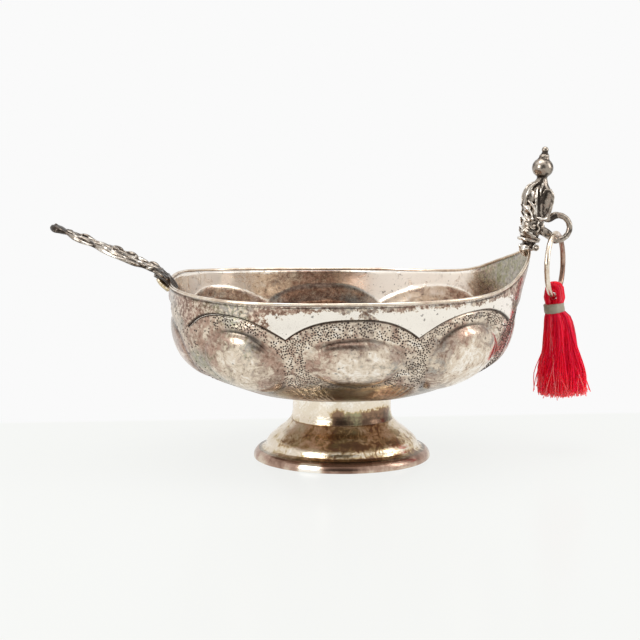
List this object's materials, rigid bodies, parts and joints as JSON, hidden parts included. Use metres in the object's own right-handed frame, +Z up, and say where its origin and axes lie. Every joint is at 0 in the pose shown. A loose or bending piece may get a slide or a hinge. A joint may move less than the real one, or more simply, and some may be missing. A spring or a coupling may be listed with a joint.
{
  "type": "footed brandy bowl",
  "caption": "Small footed boat-shaped bowl with embossed lobes, a pierced flat handle, and a cast figure that holds a hanging ring with a tassel.",
  "frame": {"origin": "middle of the whole object's box, on the surface that the foot stands on", "axes": "+X along the bowl, from the pierced handle towards the prow with the figure; +Y across it; +Z up"},
  "size_m": [0.1782, 0.109, 0.1038],
  "materials": {
    "bowl_silver": "raised and chased silver, tarnished brown in the matted ground, polished on the bosses",
    "rim_silver": "bright rubbed silver",
    "collar_silver": "warm pale silver, slightly yellowed, satin",
    "foot_silver": "brown and olive tarnished silver with bright rubbed spots",
    "cast_silver": "cast silver, black in the hollows and rubbed bright on the high points",
    "ring_silver": "plain drawn wire, lightly tarnished",
    "red_thread": "glossy red rayon thread",
    "band_cord": "grey-olive wound thread band"
  },
  "bodies": {
    "vessel": {"bowl_body": "bowl_silver", "rim_wire": "rim_silver", "foot_collar": "collar_silver", "foot_cone": "foot_silver", "foot_ring": "foot_silver", "handle_lug": "rim_silver", "pierced_handle": "cast_silver", "figure_handle": "cast_silver", "figure_loop": "cast_silver"},
    "ring": {"hanging_ring": "ring_silver"},
    "tassel": {"tassel_loop": "red_thread", "tassel_band": "band_cord", "tassel_skirt": "red_thread"}
  },
  "joints": [
    {"name": "ring_swing", "type": "hinge", "parent": "vessel", "child": "ring", "pos_m": [0.08017, 0, 0.07263], "axis": [0.887, -0.4617, 0], "range_deg": [-20, 20]},
    {"name": "tassel_swing", "type": "hinge", "parent": "ring", "child": "tassel", "pos_m": [0.08017, 0, 0.05365], "axis": [0.4617, 0.887, 0], "range_deg": [-60, 8]}
  ]
}
